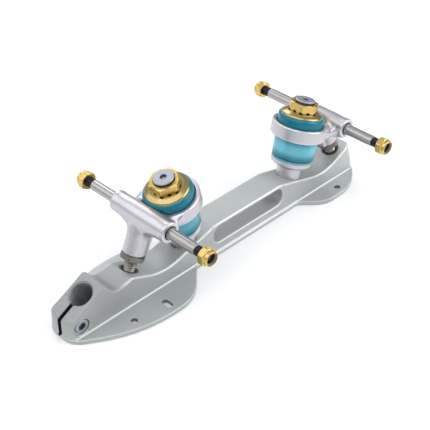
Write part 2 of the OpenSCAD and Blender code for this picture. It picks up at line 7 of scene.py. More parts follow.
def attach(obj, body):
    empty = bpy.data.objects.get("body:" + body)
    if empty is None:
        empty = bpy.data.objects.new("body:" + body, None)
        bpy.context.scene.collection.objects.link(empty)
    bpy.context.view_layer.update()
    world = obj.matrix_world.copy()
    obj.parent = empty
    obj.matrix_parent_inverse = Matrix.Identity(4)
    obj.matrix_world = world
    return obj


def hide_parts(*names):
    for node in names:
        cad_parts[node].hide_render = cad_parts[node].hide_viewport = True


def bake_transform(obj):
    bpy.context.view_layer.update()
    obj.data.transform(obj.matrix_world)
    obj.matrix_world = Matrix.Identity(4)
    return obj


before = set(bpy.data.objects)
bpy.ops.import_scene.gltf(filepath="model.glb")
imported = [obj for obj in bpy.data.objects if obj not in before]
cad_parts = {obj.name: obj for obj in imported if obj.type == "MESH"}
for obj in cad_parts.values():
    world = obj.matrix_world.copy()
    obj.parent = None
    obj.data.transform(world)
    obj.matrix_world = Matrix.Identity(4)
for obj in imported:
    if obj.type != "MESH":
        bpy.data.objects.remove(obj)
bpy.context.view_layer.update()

# Pieces are in millimetres in the part's frame until makePiece; floor and lights are in metres.
mm = 0.001
tau = 2 * math.pi
bothEnds = ("front", "rear")


class Wire:  # a shader socket with arithmetic
    def __init__(self, tree, socket=None):
        self.tree, self.socket = tree, socket

    def node(self, kind, inputs=None, out=0, **settings):
        made = self.tree.nodes.new(kind)
        for key, value in settings.items():
            setattr(made, key, value)
        for key, value in (inputs or {}).items():
            if isinstance(value, Wire):
                self.tree.links.new(value.socket, made.inputs[key])
            else:
                made.inputs[key].default_value = value
        return Wire(self.tree, made.outputs[out])

    def mix(self, share, first, second):  # two colours, by a share from 0 to 1
        return self.node("ShaderNodeMix", {0: share, 6: first, 7: second}, out=2, data_type="RGBA")

    def calc(self, operation, a, b):
        return self.node("ShaderNodeMath", {0: a, 1: b}, operation=operation)

    def __add__(self, other):
        return self.calc("ADD", self, other)

    def __sub__(self, other):
        return self.calc("SUBTRACT", self, other)

    def __mul__(self, other):
        return self.calc("MULTIPLY", self, other)


def linear(*rgb):  # screen values 0 to 255 to scene colour
    c = np.array(rgb) / 255
    return (*np.where(c <= 0.04045, c / 12.92, ((c + 0.055) / 1.055) ** 2.4), 1.0)


# the dark tone is the colour that painted shade mixes towards
finishCommon = {"wideShare": 0.55, "fineShare": 0.45, "shadeColour": (34, 34, 33), "grainDepth": 0.1}


# A finish: two tones mixed by broad and fine noise, a lighter colour for edge wear with painted highlight and
# light, a dark colour for painted shade, grain as bump.
def makeFinish(name, dark, light, rough, grain, bump, metallic=0.0, broad=24, spread=0.12,
               stretch=(1, 1, 1), wearAndPaintedLight=None, **constants):
    s = finishCommon
    material = bpy.data.materials.new(name)
    material.use_nodes = True
    tree = material.node_tree
    shader = tree.nodes["Principled BSDF"]
    start = Wire(tree)
    place = start.node("ShaderNodeTexCoord", out="Object")
    drawn = start.node("ShaderNodeMapping", {"Vector": place, "Scale": stretch})
    fine = start.node("ShaderNodeTexNoise", {"Vector": drawn, "Scale": 1 / (grain * mm), "Detail": 3.0})
    wide = start.node("ShaderNodeTexNoise", {"Vector": place, "Scale": 1 / (broad * mm), "Detail": 2.0})
    mixed = wide * s["wideShare"] + fine * s["fineShare"]
    colour = start.mix(mixed, linear(*dark), linear(*light))
    roughness = (fine - 0.5) * spread + rough
    if wearAndPaintedLight:
        # edge wear with painted highlight and painted light: the colour goes lighter where a point is marked
        edge = start.node("ShaderNodeAttribute", out="Fac", attribute_name="paintedLightAndWear")
        colour = start.mix(edge * wearAndPaintedLight["amount"], colour, linear(*wearAndPaintedLight["colour"]))
        # painted shade: the colour goes dark where a point is marked for it
        shadeShare = start.node("ShaderNodeAttribute", out="Fac", attribute_name="paintedShade")
        colour = start.mix(shadeShare, colour, linear(*s["shadeColour"]))
        roughness = roughness - edge * wearAndPaintedLight["polish"]
    depth = s["grainDepth"] * mm
    relief = start.node("ShaderNodeBump", {"Strength": bump, "Distance": depth, "Height": fine})
    for key, value in {"Base Color": colour, "Roughness": roughness, "Normal": relief}.items():
        tree.links.new(value.socket, shader.inputs[key])
    shader.inputs["Metallic"].default_value = metallic
    for key, value in constants.items():
        shader.inputs[key.replace("_", " ")].default_value = value
    return material


# Each wear colour lightens edges, partly as wear and partly as painted highlight; on the pale teal it paints
# light.
finishes = {
    "cast": makeFinish(
        "castAlloy", (160, 164, 163), (186, 189, 188), metallic=0.35, rough=0.44, grain=0.9, bump=0.22,
        wearAndPaintedLight={"amount": 0.75, "colour": (232, 235, 234), "polish": 0.1}),
    "hanger": makeFinish(
        "hangerAlloy", (186, 183, 188), (210, 207, 212), metallic=0.88, rough=0.34, grain=0.8, bump=0.06,
        wearAndPaintedLight={"amount": 0.6, "colour": (240, 239, 244), "polish": 0.08}),
    "steel": makeFinish(
        "turnedSteel", (152, 150, 148), (188, 186, 183), metallic=1.0, rough=0.29, grain=0.3, bump=0.003,
        spread=0.03, stretch=(0.05, 1, 0.05)),
    "pinSteel": makeFinish(
        "pinSteel", (150, 155, 166), (184, 188, 198), metallic=0.8, rough=0.32, grain=0.4, bump=0.05,
        spread=0.1, wearAndPaintedLight={"amount": 0.3, "colour": (226, 229, 235), "polish": 0.05}),
    "studSteel": makeFinish(
        "studSteel", (136, 131, 121), (178, 173, 161), metallic=0.9, rough=0.32, grain=0.4, bump=0.05,
        broad=5, spread=0.1),
    "gold": makeFinish(
        "goldZinc", (196, 164, 84), (224, 196, 128), metallic=1.0, rough=0.25, grain=0.6, bump=0.02,
        broad=7, spread=0.08),
    "paleGold": makeFinish(
        "paleGoldZinc", (160, 138, 88), (196, 178, 130), metallic=1.0, rough=0.22, grain=0.6, bump=0.02,
        broad=7, spread=0.08),
    "deepTeal": makeFinish(
        "deepTeal", (0, 94, 114), (0, 130, 150), rough=0.16, grain=0.7, bump=0.03,
        broad=10, spread=0.06, Specular_IOR_Level=0.32, Subsurface_Weight=0.1, Subsurface_Scale=0.002),
    # the pale teal's wear colour paints light: a glow and a lip highlight on the lower cushions
    "paleTeal": makeFinish(
        "paleTeal", (0, 118, 144), (10, 160, 188), rough=0.1, grain=0.8, bump=0.02,
        broad=9, spread=0.04, wearAndPaintedLight={"amount": 0.8, "colour": (140, 240, 255), "polish": 0.0},
        Transmission_Weight=0.42, IOR=1.45),
    "nickel": makeFinish(
        "darkNickel", (92, 90, 83), (140, 137, 127), metallic=1.0, rough=0.2, grain=0.4, bump=0.02,
        spread=0.06),
    "blackPlastic": makeFinish(
        "blackPlastic", (58, 57, 53), (82, 80, 75), rough=0.42, grain=0.5, bump=0.06),
    "nylon": makeFinish(
        "nylonRing", (112, 106, 98), (146, 140, 130), rough=0.4, grain=0.5, bump=0.05),
    "thread": makeFinish(
        "blackThread", (20, 20, 24), (44, 44, 50), metallic=0.6, rough=0.36, grain=0.4, bump=0.04),
    "boreThread": makeFinish(
        "boreThread", (112, 116, 116), (146, 150, 150), metallic=0.3, rough=0.42, grain=0.5, bump=0.06),
}
print("finishes:", len(finishes))


# Frames are 4x4 arrays from local to part coordinates.
def turnY(degrees):
    a = math.radians(degrees)
    m = np.eye(4)
    m[0, 0] = m[2, 2] = math.cos(a)
    m[0, 2], m[2, 0] = math.sin(a), -math.sin(a)
    return m


def shifted(x, y, z):
    m = np.eye(4)
    m[:3, 3] = x, y, z
    return m


truck = {
    "axleHeight": 51.886, "frontX": -60.0, "rearX": 100.0,
    "seat": (-30.656, 0, -32.886),  # the kingpin's foot seen from the axle
    "kingpinTilt": 15, "armTilt": 23,
    "seatHeight": 19.0, "pivotFace": 34.9, "pivotLand": 6.5,
    "sideTurn": {"front": -1, "rear": 1},  # the front truck's own sides are swapped
}


def truckFrame(end):
    if end == "front":
        return shifted(truck["frontX"], 0, truck["axleHeight"]) @ np.diag([-1.0, -1.0, 1.0, 1.0])
    return shifted(truck["rearX"], 0, truck["axleHeight"])


def kingFrame(end):
    return truckFrame(end) @ shifted(*truck["seat"]) @ turnY(truck["kingpinTilt"])


def armFrame(end):
    return truckFrame(end) @ turnY(-truck["armTilt"])


def axleFrame(end, side):  # local Z runs out along the axle
    m = np.eye(4)
    m[:3, 0], m[:3, 1], m[:3, 2] = (1, 0, 0), (0, 0, -side), (0, side, 0)
    return truckFrame(end) @ m


def moved(frameIn, points):
    return points.reshape(-1, 3) @ frameIn[:3, :3].T + frameIn[:3, 3]


def makePiece(name, points, faceSets, finish, body, nodes=(),
              normals=None, wearAndPaintedLight=None, shade=None, sharp=35):
    mesh = bpy.data.meshes.new(name)
    points = np.asarray(points, dtype=np.float64) * mm
    loops = np.concatenate([f.reshape(-1) for f in faceSets]).astype(np.int32)
    sizes = np.concatenate([np.full(len(f), f.shape[1]) for f in faceSets]).astype(np.int32)
    mesh.vertices.add(len(points))
    mesh.vertices.foreach_set("co", points.astype(np.float32).ravel())
    mesh.loops.add(len(loops))
    mesh.loops.foreach_set("vertex_index", loops)
    mesh.polygons.add(len(sizes))
    starts = np.concatenate([[0], np.cumsum(sizes)[:-1]]).astype(np.int32)
    mesh.polygons.foreach_set("loop_start", starts)
    mesh.update(calc_edges=True)
    mesh.validate()
    mesh.polygons.foreach_set("use_smooth", np.ones(len(mesh.polygons), dtype=bool))
    if normals is not None:
        mesh.normals_split_custom_set_from_vertices(normals.tolist())
    elif sharp:
        mesh.set_sharp_from_angle(angle=math.radians(sharp))
    # per-point marks: lightening for wear with painted highlight and light, and painted shade
    for label, values in (("paintedLightAndWear", wearAndPaintedLight), ("paintedShade", shade)):
        if values is not None:
            marks = mesh.attributes.new(label, "FLOAT", "POINT")
            marks.data.foreach_set("value", values.astype(np.float32))
    mesh.materials.append(finishes[finish])
    piece = bpy.data.objects.new(name, mesh)
    bpy.context.scene.collection.objects.link(piece)
    if normals is None and sharp:
        weighted = piece.modifiers.new("flatFaces", "WEIGHTED_NORMAL")
        weighted.keep_sharp = True
    if body:
        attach(piece, body)
    if nodes:
        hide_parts(*nodes)
    return piece


# A line through corners (x, y, radius): each corner becomes an arc tangent to both legs.
def rounded(corners, closed=False, steps=6):
    c = [np.array(p, dtype=float) for p in corners]
    line = []
    for i, b in enumerate(c):
        r = b[2]
        if r == 0 or (not closed and i in (0, len(c) - 1)):
            line.append(b[:2])
            continue
        p, q = c[i - 1][:2] - b[:2], c[(i + 1) % len(c)][:2] - b[:2]
        p, q = p / np.linalg.norm(p), q / np.linalg.norm(q)
        half = math.acos(max(-1, min(1, float(p @ q)))) / 2
        mid = b[:2] + (p + q) / np.linalg.norm(p + q) * r / math.sin(half)
        s, e = b[:2] + p * r / math.tan(half) - mid, b[:2] + q * r / math.tan(half) - mid
        a0 = math.atan2(s[1], s[0])
        turn = (math.atan2(e[1], e[0]) - a0 + 3 * math.pi) % tau - math.pi
        a = a0 + turn * np.linspace(0, 1, steps + 1)
        line.extend(mid + r * np.stack([np.cos(a), np.sin(a)], 1))
    return np.array(line)


# A turned surface: row i of the profile swept through all angles; rows on the axis shrink to one point.
def lathe(radius, height, steps=96, ring=False):
    angle = tau * np.arange(steps) / steps
    radius = np.asarray(radius, dtype=float)
    height = np.asarray(height, dtype=float)
    rows = len(radius)
    r = np.broadcast_to(radius[:, None] if radius.ndim == 1 else radius, (rows, steps))
    h = np.broadcast_to(height[:, None] if height.ndim == 1 else height, (rows, steps))
    points = np.stack([r * np.cos(angle), r * np.sin(angle), h], 2).reshape(-1, 3)
    index = np.arange(rows * steps).reshape(rows, steps)
    nextRow = np.roll(index, -1, 0) if ring else index[1:]
    thisRow = index if ring else index[:-1]
    quads = np.stack([thisRow, np.roll(thisRow, -1, 1), np.roll(nextRow, -1, 1), nextRow], 2)
    if ring:
        return points, [quads.reshape(-1, 4)]
    middle = quads[1:-1].reshape(-1, 4)  # the first and last rows are fans about the axis
    low, high = index[1], index[-2]
    foot, head = rows * steps, rows * steps + 1
    points = np.vstack([points, [0, 0, h[0, 0]], [0, 0, h[-1, 0]]])
    fans = np.vstack([np.stack([np.full(steps, foot), np.roll(low, -1), low], 1),
                      np.stack([np.full(steps, head), high, np.roll(high, -1)], 1)])
    used = np.concatenate([np.arange(steps, (rows - 1) * steps), [foot, head]])
    renumber = np.full(rows * steps + 2, -1)
    renumber[used] = np.arange(len(used))
    return points[used], [renumber[middle], renumber[fans]]


# Distance from the axis to a hexagon's side; past a soft margin the corners keep two fifths of their reach.
def hexRadius(across, steps=96, soft=0.25, ease=0.6):
    angle = tau * np.arange(steps) / steps
    side = (angle + tau / 12) % (tau / 6) - tau / 12
    r = across / 2 / np.cos(side)
    corner = across / 2 / math.cos(tau / 12)
    return r - np.maximum(r - (corner - soft), 0) * ease


# Closest signed distance from points to a closed outline, negative inside.
def outlineDistance(x, y, line):
    x, y = np.broadcast_arrays(x, y)
    best = np.full(x.shape, np.inf)
    sign = np.ones(x.shape)
    for a, b in zip(line, np.roll(line, -1, 0)):
        ex, ey = b - a
        length = ex * ex + ey * ey
        if length < 1e-12:
            continue
        wx, wy = x - a[0], y - a[1]
        t = np.clip((wx * ex + wy * ey) / length, 0, 1)
        best = np.minimum(best, (wx - ex * t) ** 2 + (wy - ey * t) ** 2)
        c1, c2, c3 = y >= a[1], y < b[1], ex * wy > ey * wx
        sign = np.where((c1 & c2 & c3) | (~c1 & ~c2 & ~c3), -sign, sign)
    return sign * np.sqrt(best)


def both(a, b, r):  # intersection of two solids with the edge rounded
    return np.minimum(-r, np.maximum(a, b)) + np.hypot(np.maximum(a + r, 0), np.maximum(b + r, 0))


def joined(a, b, r):  # union with a fillet
    return -both(-a, -b, r)


def cut(a, b, r):  # a without b, with the rim eased
    return both(a, -b, r)


def fade(value, start, run):  # from 0 at the start to 1 a run later, with level ends
    t = np.clip((value - start) / run, 0, 1)
    return t * t * (3 - 2 * t)


def spaced(*stretches):  # grid lines: (from, to, step) stretches in order
    lines = [np.linspace(a, b, max(2, round((b - a) / s) + 1))[:-1] for a, b, s in stretches]
    return np.concatenate(lines + [[stretches[-1][1]]])


fieldProbe = {
    "step": 0.05, "passes": 2, "longest": 0.3, "leastSlope": 0.2,
    "reach": 0.45, "tangents": ((0.3, 0.5, 0.81), (0.9, -0.4, 0.1)),  # any two that aren't parallel
    "ridge": (0.02, 13, 1), "fillet": (0.03, 12, 0.8),  # bend where the lightening of edges and fillets begins, its gain and its most
}


def stepped(values, axis):  # each value and the next one along an axis
    values = np.moveaxis(values, axis, 0)
    return np.moveaxis(values[:-1], 0, axis), np.moveaxis(values[1:], 0, axis)


# Surface of a distance field: one point in each grid cell that the surface crosses, then steps along
# the gradient.
def castSurface(field, xs, ys, zs):
    s = fieldProbe
    grid = field(xs[:, None, None], ys[None, :, None], zs[None, None, :])
    axes = (xs, ys, zs)
    shape = tuple(n - 1 for n in grid.shape)
    total, count = np.zeros(shape + (3,)), np.zeros(shape)
    for axis in range(3):
        others = [a for a in range(3) if a != axis]
        f0, f1 = stepped(grid, axis)
        crossed = (f0 < 0) != (f1 < 0)
        where = np.array(np.nonzero(crossed))
        t = f0[crossed] / (f0[crossed] - f1[crossed])
        at = np.stack([axes[a][where[a]] for a in range(3)], 1)
        at[:, axis] += t * (axes[axis][where[axis] + 1] - axes[axis][where[axis]])
        for da, db in ((0, 0), (0, 1), (1, 0), (1, 1)):
            cell = where.copy()
            cell[others[0]] -= da
            cell[others[1]] -= db
            good = np.all((cell >= 0) & (cell < np.array(shape)[:, None]), 0)
            flat = np.ravel_multi_index(cell[:, good], shape)
            np.add.at(count.reshape(-1), flat, 1)
            np.add.at(total.reshape(-1, 3), flat, at[good])
    used = count > 0
    number = np.full(shape, -1)
    number[used] = np.arange(used.sum())
    points = total[used] / count[used][:, None]
    quads = []
    for axis in range(3):
        b, c = (axis + 1) % 3, (axis + 2) % 3
        first, second = stepped(grid < 0, axis)
        for rising in (True, False):
            where = np.array(np.nonzero((first & ~second) if rising else (~first & second)))
            ring = []
            for db, dc in ((1, 1), (0, 1), (0, 0), (1, 0)):
                cell = where.copy()
                cell[b] -= db
                cell[c] -= dc
                ring.append(number[tuple(cell)])
            quad = np.stack(ring, 1)
            quads.append(quad if rising else quad[:, ::-1])

    def probe(p):
        f = field(p[:, 0], p[:, 1], p[:, 2])
        sides = [[field(*(p + way * s["step"] * np.eye(3)[a]).T) for way in (1, -1)] for a in range(3)]
        return f, np.stack([(more - less) / (2 * s["step"]) for more, less in sides], 1)

    for _ in range(s["passes"]):
        f, slope = probe(points)
        size = np.maximum((slope ** 2).sum(1), s["leastSlope"])
        points = points - slope * np.clip(f / size, -s["longest"], s["longest"])[:, None]
    f, slope = probe(points)
    normals = slope / np.maximum(np.linalg.norm(slope, axis=1), 1e-9)[:, None]
    # the field a little way out along the tangents: positive on a ridge, negative in a fillet
    tangents = [np.cross(normals, t) for t in s["tangents"]]
    around = sum(field(*(points + s["reach"] * way * d).T) for d in tangents for way in (1, -1))
    bend = (around - 4 * f) / 4 / s["reach"]
    # ridges are lightened partly for wear and partly as painted highlight; fillets get a painted highlight
    # only
    (ridge, ridgeGain, ridgeMost), (fillet, filletGain, filletMost) = s["ridge"], s["fillet"]
    wearAndPaintedLight = np.clip((bend - ridge) * ridgeGain, 0, ridgeMost)
    wearAndPaintedLight = wearAndPaintedLight + np.clip((-bend - fillet) * filletGain, 0, filletMost)
    return points, [np.vstack(quads)], normals, wearAndPaintedLight


# Chassis: side profile and plan as rounded outlines, joined by a fillet, then cut.
chassisShape = {
    "toe": (-127.93, 13.144, 0), "bossTop": (-100.2, 28.554, 2.2), "notch": (-93.047, 19.4, 8), "beam": 24.0,
    "heelTopX": 126.2, "heelFoot": 3.2, "below": -30,
    "sideRounds": {"hump": 5, "dip": 36, "crest": 18, "heel": 2.2},
    "toeHalf": 10.6, "frontFlange": (-92.152, -50.0, 33.0), "waist": (-29.0, 67.6, 12.0),
    "rearFlange": (81.0, 109.394, 25.4), "heelEnd": (128.0, 10.6),  # from, to and half width
    "planRounds": {"toe": 14, "front": (90, 30), "waist": 6, "rear": (18, 38), "heel": 10},
    "heelWall": 126.0, "heelLean": 0.02, "heelLeast": 2, "heelRound": 8.6, "heelRise": (4, 20, 1.5),
    "flange": 3.0, "flangeEdge": 0.5, "fillet": 1.0, "wallHalf": 11.1, "wallInset": 0.2, "wallRound": 2.0,
    "draft": 1.5, "topRound": 1.1, "bossRound": 2.4, "bossSpan": (-128, -118.4, -100.2, -83),
    "socketX": -110.4, "socketZ": 22.9, "socketTilt": 29, "socketR": 7.95, "slotHalf": 1.3,
    "screwX": -118.8, "screwZ": 9.4, "pocketR": 5.0, "pocketRun": 1.2, "pocketTilt": 15,
    "pocketFloor": 5.93, "pocketLedge": 9.3, "headHoleR": 4.75, "window": (-12.34, 52.34, 9.2, 22.0, 5.5),
    "seatR": 8.8, "seatSink": 0.5, "pivotR": 5.95, "pivotDepth": 8.5,
    "holeR": 2.2, "holes": ((-90, 22), (100, 19.4)), "slots": ((-66, 24.8, 1.9),),
    "rim": 0.35, "cutRim": 0.3, "headRim": 0.1, "windowRim": 0.8,
}
chassisGrid = {
    "x": ((-128.8, -90, 0.62), (-90, 90, 0.8), (90, 129, 0.66)),
    "y": ((-33.6, -12.8, 0.8), (-12.8, -10, 0.35), (-10, 10, 0.77), (10, 12.8, 0.35), (12.8, 33.6, 0.8)),
    "z": ((-0.6, 4.8, 0.36), (4.8, 32, 0.68)),
}


def sideLine(s, t):  # the top line lies square to the kingpins and to the pivot arms
    king, arm = math.tan(math.radians(t["kingpinTilt"])), math.radians(t["armTilt"])
    seatU, seatZ, beam = t["seat"][0], t["seatHeight"], s["beam"]
    pivotU, pivotZ = t["pivotFace"] * math.sin(arm), t["axleHeight"] - t["pivotFace"] * math.cos(arm)
    crest = seatU - (beam - seatZ) / king
    dip = (seatZ + seatU * king - pivotZ + pivotU * math.tan(arm)) / (king + math.tan(arm))
    dipZ = seatZ - (dip - seatU) * king
    hump, humpZ = pivotU + t["pivotLand"] * math.cos(arm), pivotZ + t["pivotLand"] * math.sin(arm)
    front, rear, r = t["frontX"], t["rearX"], s["sideRounds"]
    heelZ = pivotZ + (s["heelTopX"] - rear - pivotU) * math.tan(arm)
    top = rounded([
        s["toe"], s["bossTop"], s["notch"], (front - hump, humpZ, r["hump"]), (front - dip, dipZ, r["dip"]),
        (front - crest, beam, r["crest"]), (rear + crest, beam, r["crest"]), (rear + dip, dipZ, r["dip"]),
        (s["heelTopX"], heelZ, r["heel"]), (s["heelWall"], s["heelFoot"], 0)], steps=10)
    return np.vstack([top, [(s["heelWall"], s["below"]), (s["toe"][0], s["below"])]])


def planOutline(s):  # one half from toe to heel, then its mirror image back
    toeX, r = s["toe"][0], s["planRounds"]
    (front0, front1, frontHalf), (waist0, waist1, waistHalf) = s["frontFlange"], s["waist"]
    (rear0, rear1, rearHalf), (heelX, heelHalf) = s["rearFlange"], s["heelEnd"]
    half = rounded([
        (toeX, 0, 0), (toeX, s["toeHalf"], r["toe"]),
        (front0, frontHalf, r["front"][0]), (front1, frontHalf, r["front"][1]),
        (waist0, waistHalf, r["waist"]), (waist1, waistHalf, r["waist"]),
        (rear0, rearHalf, r["rear"][0]), (rear1, rearHalf, r["rear"][1]),
        (heelX, heelHalf, r["heel"]), (heelX, 0, 0)], steps=12)
    return np.vstack([half, half[::-1][1:-1] * (1, -1)])


sideOutline = sideLine(chassisShape, truck)
planLine = planOutline(chassisShape)


def chassisField(x, y, z):
    s = chassisShape
    a = np.abs(y)
    dSide = outlineDistance(x, z, sideOutline)
    dPlan = outlineDistance(x, y, planLine)
    heelCut = x - s["heelWall"] - s["heelLean"] * z
    low, rise, power = s["heelRise"]  # the corners are rounder towards the top
    heelSoft = s["heelLeast"] + s["heelRound"] * np.clip((z - low) / rise, 0, 1) ** power
    upright = both(a - s["wallHalf"], dPlan + s["wallInset"], s["wallRound"])
    dWall = upright + (z - s["flange"]) * math.tan(math.radians(s["draft"]))
    soft = np.interp(x, s["bossSpan"], (s["topRound"], s["bossRound"], s["bossRound"], s["topRound"]))
    body = both(dSide, both(dWall, heelCut, heelSoft), soft)
    flange = both(dPlan, z - s["flange"], s["flangeEdge"])
    d = both(joined(body, flange, s["fillet"]), -z, s["rim"])
    # toe stop socket, its slot, and the clamp screw's pocket on the -Y side
    t = math.radians(s["socketTilt"])
    ax, az = x - s["socketX"], z - s["socketZ"]
    d = cut(d, np.hypot(ax * math.cos(t) + az * math.sin(t), y) - s["socketR"], s["rim"])
    d = cut(d, np.maximum(a - s["slotHalf"], x - s["socketX"]), s["cutRim"])
    t = math.radians(s["pocketTilt"])
    px, pz = x - s["screwX"], z - s["screwZ"]
    along, across = px * math.cos(t) + pz * math.sin(t), -px * math.sin(t) + pz * math.cos(t)
    run = np.clip(along, -s["pocketRun"], 0)
    d = cut(d, np.maximum(np.hypot(along - run, across) - s["pocketR"], y + s["pocketLedge"]), s["cutRim"])
    d = cut(d, np.maximum(np.hypot(along, across) - s["headHoleR"], y + s["pocketFloor"]), s["headRim"])
    pivotFloor = -truck["pivotFace"] - s["pivotDepth"]
    sunk = ((kingFrame, s["seatR"], -s["seatSink"]), (armFrame, s["pivotR"], pivotFloor))
    for end in bothEnds:
        for place, radius, floor in sunk:
            back = np.linalg.inv(place(end))
            lx = back[0, 0] * x + back[0, 2] * z + back[0, 3]
            lz = back[2, 0] * x + back[2, 2] * z + back[2, 3]
            d = cut(d, np.maximum(np.hypot(lx, y) - radius, floor - lz), s["cutRim"])
    x0, x1, z0, z1, r = s["window"]
    wx = np.abs(x - (x0 + x1) / 2) - (x1 - x0) / 2 + r
    wz = np.abs(z - (z0 + z1) / 2) - (z1 - z0) / 2 + r
    pane = np.hypot(np.maximum(wx, 0), np.maximum(wz, 0)) + np.minimum(np.maximum(wx, wz), 0) - r
    d = cut(d, pane, s["windowRim"])
    for hx, hy in s["holes"]:
        d = cut(d, np.hypot(x - hx, a - hy) - s["holeR"], s["rim"])
    for hx, hy, reach in s["slots"]:
        d = cut(d, np.hypot(x - hx, np.maximum(np.abs(a - hy) - reach, 0)) - s["holeR"], s["rim"])
    return d


# Where the casting is lightened (edge wear with painted highlight, painted light on the pocket ledge and the
# heel) or darkened with painted shade; chassisMarks names the numbers.
chassisLook = {
    "boss": (-86, 8, 5, 0.95), "flangeRim": (3.4, 12.4, 0.45),
    "windowZone": (-14, 54, 8, 23), "windowFade": (9.5, 13), "windowKeep": (0.8, 0.3),
    "ledge": (0.25, 0.9, -112, 0.9), "slot": (0.02, 0.8, 1.0), "shadedHoleWalls": (0.5, 2.7, 0.3, 4.6, 0.6),
    "heel": (86, 22, 0.3), "toe": (-76, 14, 4, 6), "toeFacing": (0.5, 0.8), "toeShade": (0.14, 0.3),
}


def chassisMarks(p, n, wearAndPaintedLight, s, look):
    x, y, z = p.T
    a = np.abs(y)
    sideways = np.abs(n[:, 1])
    start, run, above, dull = look["boss"]
    boss = np.clip((start - x) / run, 0, 1) * (z > above)
    below, out, keep = look["flangeRim"]
    wearAndPaintedLight = wearAndPaintedLight * (1 - dull * boss) * np.where((z < below) & (a > out), keep, 1)
    x0, x1, z0, z1 = look["windowZone"]
    windowRim = (x > x0) & (x < x1) & (z > z0) & (z < z1)
    wearAndPaintedLight = wearAndPaintedLight * np.where(windowRim, np.interp(z, look["windowFade"], look["windowKeep"]), 1)
    # painted light: the clamp pocket's ledge is set bright
    reach, facing, before, polish = look["ledge"]
    ledge = (np.abs(y + s["pocketLedge"]) < reach) & (sideways > facing) & (x < before)
    wearAndPaintedLight = np.where(ledge, polish, wearAndPaintedLight)
    # painted light: the heel is lightened towards its end
    start, run, paintedLift = look["heel"]
    wearAndPaintedLight = np.maximum(wearAndPaintedLight, paintedLift * np.clip((x - start) / run, 0, 1))
    start, run, above, rise = look["toe"]
    shade = np.interp(n[:, 2], look["toeFacing"], look["toeShade"])  # painted shade: the toe darker on its upward faces
    shade = shade * np.clip((start - x) / run, 0, 1) * np.clip((z - above) / rise, 0, 1)
    # painted shade on the walls of the holes and slots in the flange
    low, high, facing, reach, dark = look["shadedHoleWalls"]
    shadedHoleWalls = (z > low) & (z < high) & (np.abs(n[:, 2]) < facing)
    near = np.zeros(len(p), dtype=bool)
    for hx, hy, *_ in s["holes"] + s["slots"]:
        near |= np.hypot(x - hx, a - hy) < reach
    shade = np.where(shadedHoleWalls & near, dark, shade)
    # painted shade inside the toe stop's slot
    slack, facing, dark = look["slot"]
    slot = (a < s["slotHalf"] + slack) & (x < s["socketX"]) & (sideways > facing)
    return wearAndPaintedLight, np.where(slot, dark, shade)


points, faces, normals, wearAndPaintedLight = castSurface(chassisField, *(spaced(*chassisGrid[k]) for k in "xyz"))
wearAndPaintedLight, shade = chassisMarks(points, normals, wearAndPaintedLight, chassisShape, chassisLook)
makePiece("chassisCasting", points, faces, "cast", "chassis", ["chassis"], normals, wearAndPaintedLight, shade)
print("chassis: points", len(points), "faces", len(faces[0]))


# Socket thread: a tube whose inner wall carries a helical ridge, open where the clamp slot passes.
threadShape = {
    "outer": 7.93, "crest": 7.15, "root": 7.8, "pitch": 1.75, "rowsPerTurn": 6, "flank": 1.6, "flat": 0.2,
    "gap": 0.2, "from": -30.0, "to": -0.25, "steps": 96, "floor": 0.3,
}


def socketThread(s, c):
    frameIn = shifted(c["socketX"], 0, c["socketZ"]) @ turnY(-c["socketTilt"])
    angle = np.pi + s["gap"] + (tau - 2 * s["gap"]) * np.linspace(0, 1, s["steps"])
    rows = np.arange(s["from"], s["to"], s["pitch"] / s["rowsPerTurn"])
    phase = (rows[:, None] / s["pitch"] - angle[None, :] / tau) % 1
    ridge = np.clip(s["flank"] * np.minimum(phase, 1 - phase) * 2 - s["flat"], 0, 1)
    inner = s["root"] - (s["root"] - s["crest"]) * ridge
    heights = np.broadcast_to(rows[:, None], inner.shape)

    def wall(r):
        return np.stack([r * np.cos(angle), r * np.sin(angle), heights], 2)

    shell = np.concatenate([wall(np.full(inner.shape, s["outer"])), wall(inner)[::-1]], 0)
    n, m = shell.shape[:2]
    index = np.arange(n * m).reshape(n, m)
    after = np.roll(index, -1, 0)
    quads = np.stack([index[:, :-1], index[:, 1:], after[:, 1:], after[:, :-1]], 2).reshape(-1, 4)
    k = np.arange(n // 2 - 1)
    closing = []
    for col, flip in ((0, False), (m - 1, True)):
        q = np.stack([index[k, col], index[k + 1, col], index[n - 2 - k, col], index[n - 1 - k, col]], 1)
        closing.append(q[:, ::-1] if flip else q)
    part = moved(frameIn, shell)
    part[:, 2] = np.maximum(part[:, 2], s["floor"])
    return part, [np.vstack([quads] + closing)]


points, faces = socketThread(threadShape, chassisShape)
makePiece("socketThread", points, faces, "boreThread", "chassis", sharp=50)
print("socket thread: points", len(points))

